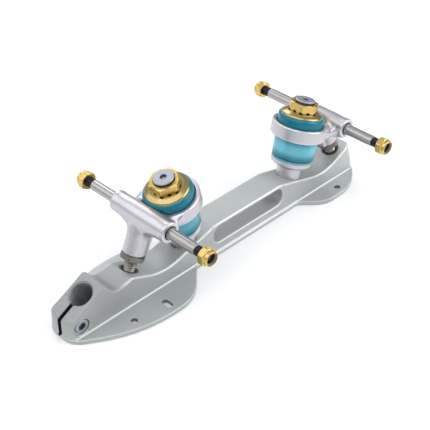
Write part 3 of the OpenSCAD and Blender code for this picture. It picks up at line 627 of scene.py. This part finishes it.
# Hanger in the kingpin's frame: tube, arm, ring and gusset joined by wide fillets, then bored.
hangerShape = {
    "axleOut": 21.1, "axleUp": 39.7, "tubeR": 6.6, "tubeHalf": 23.5, "tubeRound": 0.9,
    "fuller": 0.35, "fullerFade": (8, 10), "collar": 0.15, "collarFade": (19, 3),  # fades are (from, run)
    "armR": 7.1, "armLength": 24.0, "armTuck": 1.7, "armFade": (1, 11),
    "armFootRound": 0.6, "armTopRound": 0.5,
    "flare": (21.6, 15.0, 5.0), "flareTop": 2.0, "flareInset": 1.5, "flareHalf": 5.2,
    "flareTaper": 1.6, "flareFade": (4, 11), "flareRound": 2.8,
    "rib": (4.2, 10.0, 2.0, 23.8), "ribLean": 0.1, "ribRound": 0.6,  # half width, back, top and foot
    "ringR": 18.8, "ringFoot": 29.6, "ringTop": 38.8, "ringRound": 0.9,
    "web": (6.0, 21.0, 18.2, 33.2, 37.6), "webPlanRound": 2.0, "webEdge": 1.2,
    "recess": 3.0, "upperR": 16.0, "lowerR": 15.5, "webHoleR": 9.0,
    "boreR": 3.85, "endR": 4.4, "endDepth": 2.0, "studR": 4.05, "studDepth": 12.2,
    "fillets": {"rib": 0.8, "arm": 2.0, "flare": 2.4, "web": 3.0, "ring": 4.2},
    "rims": {"recessFloor": 0.4, "recess": 0.6, "webHole": 0.5, "bore": 0.3, "end": 0.25, "stud": 0.3},
}
hangerGrid = {"x": (-19.7, 42.8, 0.46), "y": (-25, 25, 0.46), "z": (15, 46.8, 0.46)}
# Edge lightening, partly wear and partly painted highlight, is strong on the rims of the ring and of the
# tube's ends.
hangerLook = {"ringBefore": 9, "tubeBeyond": 23.2, "rimWearAndLight": 0.7, "bodyWearAndLight": 0.15}


def flareOutline(s):  # concave quarter ellipses from the tube's width down to the arm's
    wide, low, high = s["flare"]
    a = np.linspace(0, math.pi / 2, 12)
    inset = s["armR"] - s["flareInset"]
    side = np.stack([wide - (wide - inset) * np.sin(a), low - (low - high) * np.cos(a)], 1)
    side = np.vstack([[(wide, s["flareTop"])], side])
    return np.vstack([side, side[::-1] * (-1, 1)])


flareLine = flareOutline(hangerShape)


def hangerField(x, y, z):
    s, fillet, rim = hangerShape, hangerShape["fillets"], hangerShape["rims"]
    a = np.abs(y)
    ux, uz = x - s["axleOut"], z - s["axleUp"]  # from the axle, in the kingpin's frame
    fromAxle = np.hypot(ux, uz)
    swell = s["fuller"] * (1 - fade(a, *s["fullerFade"]))
    tube = fromAxle - s["tubeR"] - swell - s["collar"] * fade(a, *s["collarFade"])
    tube = both(tube, a - s["tubeHalf"], s["tubeRound"])
    t = math.radians(truck["armTilt"] + truck["kingpinTilt"])
    across, down = ux * math.cos(t) + uz * math.sin(t), ux * math.sin(t) - uz * math.cos(t)
    fromArm = np.hypot(across, y)
    armR = s["armR"] - s["armTuck"] * (1 - fade(down, *s["armFade"]))  # hidden in the tube where it starts
    arm = both(both(fromArm - armR, down - s["armLength"], s["armFootRound"]), -down, s["armTopRound"])
    ringMid, ringHalf = (s["ringTop"] + s["ringFoot"]) / 2, (s["ringTop"] - s["ringFoot"]) / 2
    far = np.hypot(x, y)
    ring = both(far - s["ringR"], np.abs(z - ringMid) - ringHalf, s["ringRound"])
    x0, x1, half, z0, z1 = s["web"]
    web = both(np.abs(x - (x0 + x1) / 2) - (x1 - x0) / 2, a - half, s["webPlanRound"])
    web = both(web, np.abs(z - (z0 + z1) / 2) - (z1 - z0) / 2, s["webEdge"])
    flareHalf = np.abs(across) - s["flareHalf"] + s["flareTaper"] * fade(down, *s["flareFade"])
    flare = both(outlineDistance(y, down, flareLine), flareHalf, s["flareRound"])
    half, back, top, low = s["rib"]
    reach = back - s["ribLean"] * down
    rib = both(a - half, np.abs(across + reach / 2) - reach / 2, s["ribRound"])
    rib = both(rib, np.abs(down - (top + low) / 2) - (low - top) / 2, s["ribRound"])
    d = joined(joined(tube, joined(arm, rib, fillet["rib"]), fillet["arm"]), flare, fillet["flare"])
    d = joined(d, joined(ring, web, fillet["web"]), fillet["ring"])
    d = cut(d, both(far - s["upperR"], (s["ringTop"] - s["recess"]) - z, rim["recessFloor"]), rim["recess"])
    d = cut(d, both(far - s["lowerR"], z - (s["ringFoot"] + s["recess"]), rim["recessFloor"]), rim["recess"])
    d = cut(d, far - s["webHoleR"], rim["webHole"])
    d = cut(d, fromAxle - s["boreR"], rim["bore"])
    d = cut(d, np.maximum(fromAxle - s["endR"], s["tubeHalf"] - s["endDepth"] - a), rim["end"])
    return cut(d, np.maximum(fromArm - s["studR"], s["armLength"] - s["studDepth"] - down), rim["stud"])


points, faces, normals, wearAndPaintedLight = castSurface(hangerField, *(spaced(hangerGrid[k]) for k in "xyz"))
rims = (points[:, 0] < hangerLook["ringBefore"]) | (np.abs(points[:, 1]) > hangerLook["tubeBeyond"])
wearAndPaintedLight = np.where(rims, hangerLook["rimWearAndLight"], hangerLook["bodyWearAndLight"]) * wearAndPaintedLight
for end in bothEnds:
    place = kingFrame(end)
    makePiece(end + "HangerCasting", moved(place, points), faces, "hanger", end + "_truck", [end + "_hanger"],
              normals @ place[:3, :3].T, wearAndPaintedLight)
print("hangers: points", len(points), "faces", len(faces[0]))


# A turned pin whose last rows sink into a hexagon: a lip, the walls and a blunt point at the floor. The lip
# and the socket carry painted shade.
def socketPin(outside, rowShade, s, steps=96, keySoft=0.1, keyDepth=2.4, pointShare=0.4, lipShade=0.3):
    key = hexRadius(s["key"], steps, keySoft)
    wall = np.broadcast_to(outside[:, :1], (len(outside), steps))
    radius = np.vstack([wall, key + s["keyLip"], key, key, key * pointShare, key * 0])
    top, floor = s["top"], s["top"] - keyDepth
    sunk = [top, top - s["keyBevel"], floor, *(floor - tip for tip in s["keyPoint"])]
    points, faces = lathe(radius, np.concatenate([outside[:, 1], sunk]), steps)
    rowShade = np.concatenate([rowShade, [0, lipShade], np.full(3, s["keyShade"])])
    return points, faces, np.concatenate([np.repeat(rowShade[1:-1], steps), [0, s["keyShade"]]])


# Kingpin: plain shank, a neck under an end disc painted dark as shade, and a hexagon socket.
kingpinShape = {
    "r": 6.7, "foot": -14.0, "footRound": 0.4, "neck": 53.15, "neckR": 5.9,
    "neckShade": 0.7, "neckSlack": 0.05,
    "disc": 53.9, "discInset": 0.1, "discRound": 0.1, "top": 55.0, "bevel": 0.5, "faceR": 3.4,
    "key": 3.9, "keyLip": 0.15, "keyBevel": 0.2, "keyPoint": (0.5, 0.7), "keyShade": 0.4,
}


def kingpinBody(s):
    discR = s["r"] - s["discInset"]
    outside = rounded([
        (0, s["foot"], 0), (s["r"], s["foot"], s["footRound"]), (s["r"], s["neck"], 0),
        (s["neckR"], s["neck"], 0), (s["neckR"], s["disc"], 0), (discR, s["disc"], s["discRound"]),
        (discR, s["top"], s["bevel"]), (s["faceR"], s["top"], 0)])
    up = outside[:, 1]
    neck = (up > s["neck"] - s["neckSlack"]) & (up < s["disc"] + s["neckSlack"])
    return socketPin(outside, np.where(neck, s["neckShade"], 0), s)


points, faces, shade = kingpinBody(kingpinShape)
for end in bothEnds:
    makePiece(end + "KingpinBody", moved(kingFrame(end), points), faces, "pinSteel", "chassis",
              [end + "_kingpin"], shade=shade)

# Cushion seat: neck with a flared foot ring opening into a dish; corners are radius, height and rounding.
seatShape = [(6.75, -0.4, 0), (8.7, -0.4, 0.3), (8.7, 8.0, 2.5), (13.3, 9.4, 1.2), (14.3, 10.4, 0.8),
             (14.3, 13.0, 0.45), (13.3, 13.0, 0.4), (13.3, 10.4, 0.5), (6.75, 10.4, 0)]
outline = rounded(seatShape, closed=True)
points, faces = lathe(outline[:, 0], outline[:, 1], ring=True)
for end in bothEnds:
    makePiece(end + "CushionSeatDish", moved(kingFrame(end), points), faces, "hanger", "chassis",
              [end + "_cushion_seat"])

# Cushions: soft turned rings with eased lips and a slight barrel.
cushionShapes = {
    "Lower": {
        "finish": "paleTeal", "slot": "lower_urethane", "farBody": "_truck", "span": (13.2, 29.4),
        "corners": [
            (7.0, 10.5, 0.4), (13.0, 10.5, 0.5), (13.0, 13.1, 0.2), (14.25, 13.1, 0.35), (14.3, 14.3, 0.4),
            (13.85, 14.75, 0.3), (14.3, 15.3, 0.5), (15.1, 29.6, 4), (15.15, 32.5, 0.5), (7.0, 32.5, 0.4)]},
    "Upper": {
        "finish": "deepTeal", "slot": "upper_urethane", "farBody": "_retainer_cup", "span": (37.0, 44.2),
        "corners": [
            (7.0, 35.9, 0.3), (15.4, 35.9, 0.3), (15.7, 38.9, 1.5), (15.7, 44.3, 2.5), (13.2, 45.0, 0.4),
            (13.15, 46.0, 0.3), (7.0, 46.0, 0.3)]},
}
cushionLook = {
    "rowGap": 0.7, "steps": 96, "lip": (13.6, 13.2, 14.3, 0.9), "groove": (13.4, 14.8, 0.45, 0.6),
    "paintedGlow": {"front": 0.6, "rear": 1.0},  # painted light: a glow at the middle of the clear rings, stronger on the rear ones
    "paintedGlowHeights": (15, 17, 20.5, 24.5, 29), "paintedGlowShares": (0, 0.12, 1, 1, 0.2),
}


def filledIn(outline, gap):  # extra points along a closed outline, no more than a gap apart
    dense = []
    for p, q in zip(outline, np.roll(outline, -1, 0)):
        count = max(1, math.ceil(np.linalg.norm(q - p) / gap))
        dense.extend(p + (q - p) * f for f in np.arange(0, 1, 1 / count))
    return np.array(dense)


def makeCushion(end, kind, s, look):
    place = kingFrame(end)
    r, h = filledIn(rounded(s["corners"], closed=True, steps=8), look["rowGap"]).T
    points, faces = lathe(r, h, look["steps"], ring=True)
    paintedGlow = look["paintedGlow"][end] * np.interp(h, look["paintedGlowHeights"], look["paintedGlowShares"])
    # painted highlight on the lip, and painted shade in the groove above it
    out, low, high, light = look["lip"]
    bright = np.where((r > out) & (h > low) & (h < high), light, paintedGlow)
    out, middle, reach, dark = look["groove"]
    groove = np.where(r > out, dark * np.exp(-((h - middle) / reach) ** 2), 0.0)
    bright, groove = np.repeat(bright, look["steps"]), np.repeat(groove, look["steps"])
    piece = makePiece(end + kind + "CushionRing", moved(place, points), faces, s["finish"], None,
                      [end + "_" + kind.lower() + "_cushion"],
                      wearAndPaintedLight=bright, shade=groove, sharp=None)
    low, high = (tuple(moved(place, np.array([[0, 0, height]]))[0] * mm) for height in s["span"])
    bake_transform(piece)


for end in bothEnds:
    for kind, shape in cushionShapes.items():
        makeCushion(end, kind, shape, cushionLook)
print("kingpins, seats and cushions")

# Retainer cup: pressed dome with a rolled rim.
cupShape = [(6.75, 46.1, 0), (13.3, 46.1, 0.6), (13.3, 44.4, 0.2), (14.2, 44.4, 0.3), (14.2, 45.5, 1.6),
            (11.0, 47.1, 2.6), (9.6, 47.3, 0.8), (6.75, 47.3, 0)]
outline = rounded(cupShape, closed=True, steps=8)
points, faces = lathe(outline[:, 0], outline[:, 1], ring=True, steps=128)
for end in bothEnds:
    makePiece(end + "RetainerDome", moved(kingFrame(end), points), faces, "paleGold", end + "_retainer_cup",
              [end + "_retainer_cup"])

adjustShape = {"across": 18.0, "bore": 6.75, "foot": 47.4, "top": 53.1, "bevelFoot": False,
               "notches": 12, "notchR": 1.2}
lockShape = {"across": 14.0, "bore": 4.05, "foot": -27.9, "top": -24.1, "bevelFoot": True}
nutEase = {"bore": 0.25, "corner": 0.3, "foot": 0.4, "flat": 0.3, "cone": 0.15, "coneSlope": 1.9,
           "top": 0.5}
nutRows = np.concatenate([np.linspace(0, 0.3, 8), np.linspace(0.34, 0.66, 6), np.linspace(0.7, 1, 8)])


# Hexagon nut: the radius is the smaller of the hexagon and a cone at each bevelled end, and the foot
# lifts in half-round notches.
def hexNut(across, bore, foot, top, bevelFoot, notches=0, notchR=0.0, steps=192):
    s = nutEase
    flat, mouth = across / 2, bore + s["bore"]
    hexLine = hexRadius(across, steps, s["corner"])
    pitch = tau / max(notches, 1)
    nearest = (tau * np.arange(steps) / steps + pitch / 2) % pitch - pitch / 2

    def lift(r):
        return np.sqrt(np.maximum(notchR ** 2 - (r * np.sin(nearest)) ** 2, 0))

    rows, heights = [], []
    for share in (0.0, 0.5, 1.0):  # the foot, from the bore outwards
        r = mouth + (hexLine - s["foot"] - mouth) * share
        r = np.minimum(r, flat - s["flat"]) if bevelFoot else r
        rows.append(r)
        heights.append(foot + lift(r))
    base = foot + lift(hexLine)
    for share in nutRows:
        h = base + (top - base) * share
        r = np.minimum(hexLine, flat - s["cone"] + (top - h) * s["coneSlope"])
        r = np.minimum(r, flat - s["cone"] + (h - foot) * s["coneSlope"]) if bevelFoot else r
        rows.append(r)
        heights.append(h)
    for share in (0.9, 0.5, 0.0):  # the top, back to the bore
        rows.append(np.full(steps, mouth + (flat - s["top"] - mouth) * share))
        heights.append(np.full(steps, top))
    rows.extend([np.full(steps, bore)] * 2)
    heights.extend([np.full(steps, top - s["bore"]), foot + lift(bore) + s["bore"]])
    return lathe(np.array(rows), np.array(heights), steps, ring=True)


for end in bothEnds:
    points, faces = hexNut(**adjustShape)
    makePiece(end + "AdjustingHex", moved(kingFrame(end), points), faces, "gold", end + "_adjusting_nut",
              [end + "_adjusting_nut"])
    points, faces = hexNut(**lockShape)
    makePiece(end + "PivotLockHex", moved(armFrame(end), points), faces, "nickel", end + "_truck",
              [end + "_pivot_locknut"])
print("cups and nuts")

# Axle: plain shaft, thicker inside the tube; each end is a fine helical thread.
axleShape = {
    "r": 3.5, "endRound": 0.25, "pressR": 3.8, "pressRound": 0.1, "pressHalf": 24.2, "shaftHalf": 45.4,
    "half": 55.4, "threadR": 3.24, "depth": 0.3, "pitch": 1.0, "rowsPerTurn": 6, "steps": 48,
    "threadGap": 0.02, "tipGap": 0.1, "tipR": 2.75, "tipSlope": 0.9, "faceR": 2.4,
}


def axleShaft(s):
    half = [(s["pressR"], s["pressHalf"], s["pressRound"]), (s["r"], s["pressHalf"], 0),
            (s["r"], s["shaftHalf"], s["endRound"]), (0, s["shaftHalf"], 0)]
    profile = rounded([(r, -up, soft) for r, up, soft in half[::-1]] + half)
    return lathe(profile[:, 0], profile[:, 1])


def axleThread(s):  # a triangle wave of the height less the turn, cut by a cone at the tip
    start, stop = s["shaftHalf"] + s["threadGap"], s["half"] - s["tipGap"]
    along = np.arange(start, stop, s["pitch"] / s["rowsPerTurn"])
    angle = tau * np.arange(s["steps"]) / s["steps"]
    phase = (along[:, None] / s["pitch"] - angle[None, :] / tau) % 1
    r = s["threadR"] - s["depth"] * (1 - 2 * np.minimum(phase, 1 - phase))
    r = np.minimum(r, s["tipR"] + np.maximum(s["half"] - along[:, None], 0) * s["tipSlope"])
    point = np.zeros((1, s["steps"]))
    radius = np.vstack([point, r, point + s["faceR"], point])
    height = np.concatenate([along[:1], along, [s["half"], s["half"]]])
    return lathe(radius, height, s["steps"])


for end in bothEnds:
    points, faces = axleShaft(axleShape)
    makePiece(end + "AxleShaft", moved(axleFrame(end, 1), points), faces, "steel", end + "_truck",
              [end + "_axle"])
    points, faces = axleThread(axleShape)
    for label, side in (("Left", 1), ("Right", -1)):
        place = axleFrame(end, side * truck["sideTurn"][end])
        makePiece(end + label + "AxleThread", moved(place, points), faces, "thread", end + "_truck",
                  sharp=60)

# Axle nut: hexagon with a round locking collar that holds a nylon ring.
axleNutShape = {
    "across": 10.6, "corner": 0.25, "foot": 50.6, "shoulder": 55.2, "steps": 96,
    "mouthR": 3.5, "footR": 4.9, "boreR": 3.3, "boreFoot": 0.3, "bevel": 0.8, "plain": 1,
    "footCone": 5.1, "topCone": 5.0, "coneSlope": 1.6,
    "collar": ((4.95, 55.2, 0), (4.88, 57.4, 0.75), (4.0, 57.4, 0.2), (4.0, 55.55, 0.1), (3.3, 55.5, 0)),
}
nylonShape = [(3.28, 55.6, 0.1), (3.95, 55.6, 0.1), (3.95, 56.85, 0.15), (3.28, 56.85, 0.25)]


def axleNut(s):
    foot, shoulder, steps = s["foot"], s["shoulder"], s["steps"]
    up = np.concatenate([np.linspace(foot, foot + s["bevel"], 6),
                         np.linspace(foot + s["plain"], shoulder - s["plain"], 5),
                         np.linspace(shoulder - s["bevel"], shoulder, 6)])
    cones = np.minimum(s["footCone"] + (up - foot) * s["coneSlope"],
                       s["topCone"] + (shoulder - up) * s["coneSlope"])
    sides = np.minimum(hexRadius(s["across"], steps, s["corner"]), cones[:, None])
    before = np.array([(s["mouthR"], foot), (s["footR"], foot)])
    after = np.vstack([rounded(s["collar"]), [(s["boreR"], foot + s["boreFoot"])]])
    radius = np.vstack([np.tile(before[:, :1], steps), sides, np.tile(after[:, :1], steps)])
    return lathe(radius, np.concatenate([before[:, 1], up, after[:, 1]]), steps, ring=True)


nutPoints, nutFaces = axleNut(axleNutShape)
ringLine = rounded(nylonShape, closed=True, steps=4)
ringPoints, ringFaces = lathe(ringLine[:, 0], ringLine[:, 1], steps=64, ring=True)
for end in bothEnds:
    for label, side in (("left", 1), ("right", -1)):
        place = axleFrame(end, side * truck["sideTurn"][end])
        body, name = end + "_" + label + "_axle_nut", end + label.capitalize()
        makePiece(name + "AxleHex", moved(place, nutPoints), nutFaces, "gold", body, [body])
        makePiece(name + "NylonRing", moved(place, ringPoints), ringFaces, "nylon", body,
                  [end + "_" + label + "_nut_insert"])
print("axles and axle nuts")

# Pivot stud: ball, ridged neck that widens upwards and plain shank. Pivot cup: socket with a flared mouth.
pivotShape = {
    "ballR": 3.79, "ballHeight": -37.7, "ballTurns": (-90, 24, 16), "steps": 64,
    "thread": (-35.9, -28.0, 60), "threadR": 3.5, "widening": 0.4, "ridge": 0.22, "pitch": 1.25,
    "shank": ((3.99, -27.6), (3.99, -12.2), (0, -12.2)),
    "cup": ((0, -43.3, 0), (5.9, -43.3, 0.4), (5.9, -35.0, 0.35), (4.85, -35.0, 0.3),
            (4.55, -35.5, 0.3), (3.9, -37.4, 0)),
    "hollowR": 3.88, "hollowTurns": (0, -90, 10),
}


def arcAt(radius, height, turns):  # points on a circle about the axis, turns in degrees from level
    turn = np.radians(np.linspace(*turns))
    return np.stack([radius * np.cos(turn), height + radius * np.sin(turn)], 1)


def pivotStud(s):
    low, high, count = s["thread"]
    up = np.linspace(low, high, count)
    r = s["threadR"] + s["widening"] * (up - low) / (high - low) + s["ridge"] * np.cos(tau * up / s["pitch"])
    line = np.vstack([arcAt(s["ballR"], s["ballHeight"], s["ballTurns"]), np.stack([r, up], 1), s["shank"]])
    line[0, 0] = 0
    return lathe(line[:, 0], line[:, 1], s["steps"])


def pivotCup(s):
    line = np.vstack([rounded(s["cup"]), arcAt(s["hollowR"], s["ballHeight"], s["hollowTurns"])])
    line[-1, 0] = 0
    return lathe(line[:, 0], line[:, 1], s["steps"])


for end in bothEnds:
    points, faces = pivotStud(pivotShape)
    makePiece(end + "PivotBall", moved(armFrame(end), points), faces, "studSteel", end + "_truck",
              [end + "_pivot_stud"])
    points, faces = pivotCup(pivotShape)
    makePiece(end + "PivotCupLiner", moved(armFrame(end), points), faces, "blackPlastic", "chassis",
              [end + "_pivot_cup"])

# Toe clamp screw: socket head in its pocket, pointing to -Y.
screwShape = {
    "root": -9.1, "r": 2.5, "rootRound": 0.4, "seat": 6.03, "seatRound": 0.2, "headR": 4.6, "top": 10.33,
    "headRound": 0.6, "faceR": 3.1, "key": 4.8, "keyLip": 0.12, "keyBevel": 0.15,
    "keyPoint": (0.4, 0.6), "keyShade": 0.5,
}


def clampBolt(s):
    outside = rounded([
        (0, s["root"], 0), (s["r"], s["root"], s["rootRound"]), (s["r"], s["seat"], 0),
        (s["headR"], s["seat"], s["seatRound"]), (s["headR"], s["top"], s["headRound"]),
        (s["faceR"], s["top"], 0)])
    return socketPin(outside, np.zeros(len(outside)), s)


points, faces, shade = clampBolt(screwShape)
boltFrame = shifted(chassisShape["screwX"], 0, chassisShape["screwZ"])
boltFrame[:3, 0], boltFrame[:3, 1], boltFrame[:3, 2] = (1, 0, 0), (0, 0, 1), (0, -1, 0)
makePiece("toeClampBolt", moved(boltFrame, points), faces, "pinSteel", "toe_clamp_screw",
          ["toe_clamp_screw"], shade=shade)
print("studs, pivot cups and clamp screw")

# Floor, lights, world and camera.
floorShape = {"half": 3.0, "drop": 0.0002, "tone": 0.93, "rough": 0.8, "specular": 0.1}


def makeFloor(s):
    mesh = bpy.data.meshes.new("floor")
    corners = [(s["half"] * x, s["half"] * y, -s["drop"]) for x, y in ((-1, -1), (1, -1), (1, 1), (-1, 1))]
    mesh.from_pydata(corners, [], [(0, 1, 2, 3)])
    material = bpy.data.materials.new("paleFloor")
    material.use_nodes = True
    shader = material.node_tree.nodes["Principled BSDF"]
    shader.inputs["Base Color"].default_value = (s["tone"], s["tone"], s["tone"], 1)
    shader.inputs["Roughness"].default_value = s["rough"]
    shader.inputs["Specular IOR Level"].default_value = s["specular"]
    mesh.materials.append(material)
    floor = bpy.data.objects.new("floor", mesh)
    bpy.context.scene.collection.objects.link(floor)


def makeLight(name, place, aim, size, power):
    data = bpy.data.lights.new(name, "AREA")
    data.shape, data.size, data.energy = "DISK", size, power
    lamp = bpy.data.objects.new(name, data)
    back = np.array(place, dtype=float) - aim
    lamp.rotation_euler.z = math.atan2(back[1], back[0]) + math.pi / 2
    lamp.rotation_euler.x = math.atan2(math.hypot(back[0], back[1]), back[2])
    lamp.location = place
    bpy.context.scene.collection.objects.link(lamp)


makeFloor(floorShape)
makeLight("keyLight", place=(-0.35, -0.15, 0.95), aim=(0, 0, 0), size=1.2, power=4.2)
makeLight("sideLight", place=(-0.62, 0.62, 0.68), aim=(0, 0, 0.03), size=0.9, power=1.9)
makeLight("edgeLight", place=(0.62, -0.64, 0.62), aim=(0.05, 0, 0.02), size=1.0, power=6.6)
makeLight("backLight", place=(0.35, 0.8, 0.6), aim=(0, 0, 0.03), size=0.6, power=2.2)

worldShape = {"low": (0.3, 0.31, 0.33, 1), "high": (0.92, 0.94, 0.98, 1),
              "rise": 0.5, "leftward": 0.2, "least": 0.1}


def makeWorld(s):  # dim at the horizon, brighter overhead and to the left, for metal to mirror
    world = bpy.data.worlds.new("studio")
    bpy.context.scene.world = world
    world.use_nodes = True
    start = Wire(world.node_tree)
    place = start.node("ShaderNodeTexCoord", out="Generated")
    x, y, z = (start.node("ShaderNodeSeparateXYZ", {0: place}, out=k) for k in "XYZ")
    shade = start.mix(z * s["rise"] + (y - x) * s["leftward"] + s["least"], s["low"], s["high"])
    background = world.node_tree.nodes["Background"]
    world.node_tree.links.new(shade.socket, background.inputs["Color"])


makeWorld(worldShape)

cameraFit = {
    "azimuth": -44.64, "elevation": 36.68, "roll": -0.37, "distance": 617.58, "offset": (-14.74, -33.27),
    "centre": (20, 0, 51.886), "focal": 973.46, "picture": 430,  # focal length and width in pixels
    "sensor": 36, "clip": (0.01, 20),
}


def makeCamera(s):
    az, el, roll = (math.radians(s[k]) for k in ("azimuth", "elevation", "roll"))
    back = np.array([math.sin(az) * math.cos(el), -math.cos(az) * math.cos(el), math.sin(el)])
    right = np.array([math.cos(az), math.sin(az), 0])
    up = np.cross(back, right)
    right, up = math.cos(roll) * right + math.sin(roll) * up, -math.sin(roll) * right + math.cos(roll) * up
    eye = (back * s["distance"] + right * s["offset"][0] + up * s["offset"][1] + s["centre"]) * mm
    data = bpy.data.cameras.new("photoCamera")
    data.sensor_width, data.lens = s["sensor"], s["focal"] / s["picture"] * s["sensor"]
    data.clip_start, data.clip_end = s["clip"]
    camera = bpy.data.objects.new("photoCamera", data)
    place = np.eye(4)
    place[:3, 0], place[:3, 1], place[:3, 2], place[:3, 3] = right, up, back, eye
    camera.matrix_world = Matrix(place.tolist())
    bpy.context.scene.collection.objects.link(camera)
    bpy.context.scene.camera = camera


makeCamera(cameraFit)
bpy.context.scene.view_settings.view_transform = "Standard"
print("stage, lights and camera")
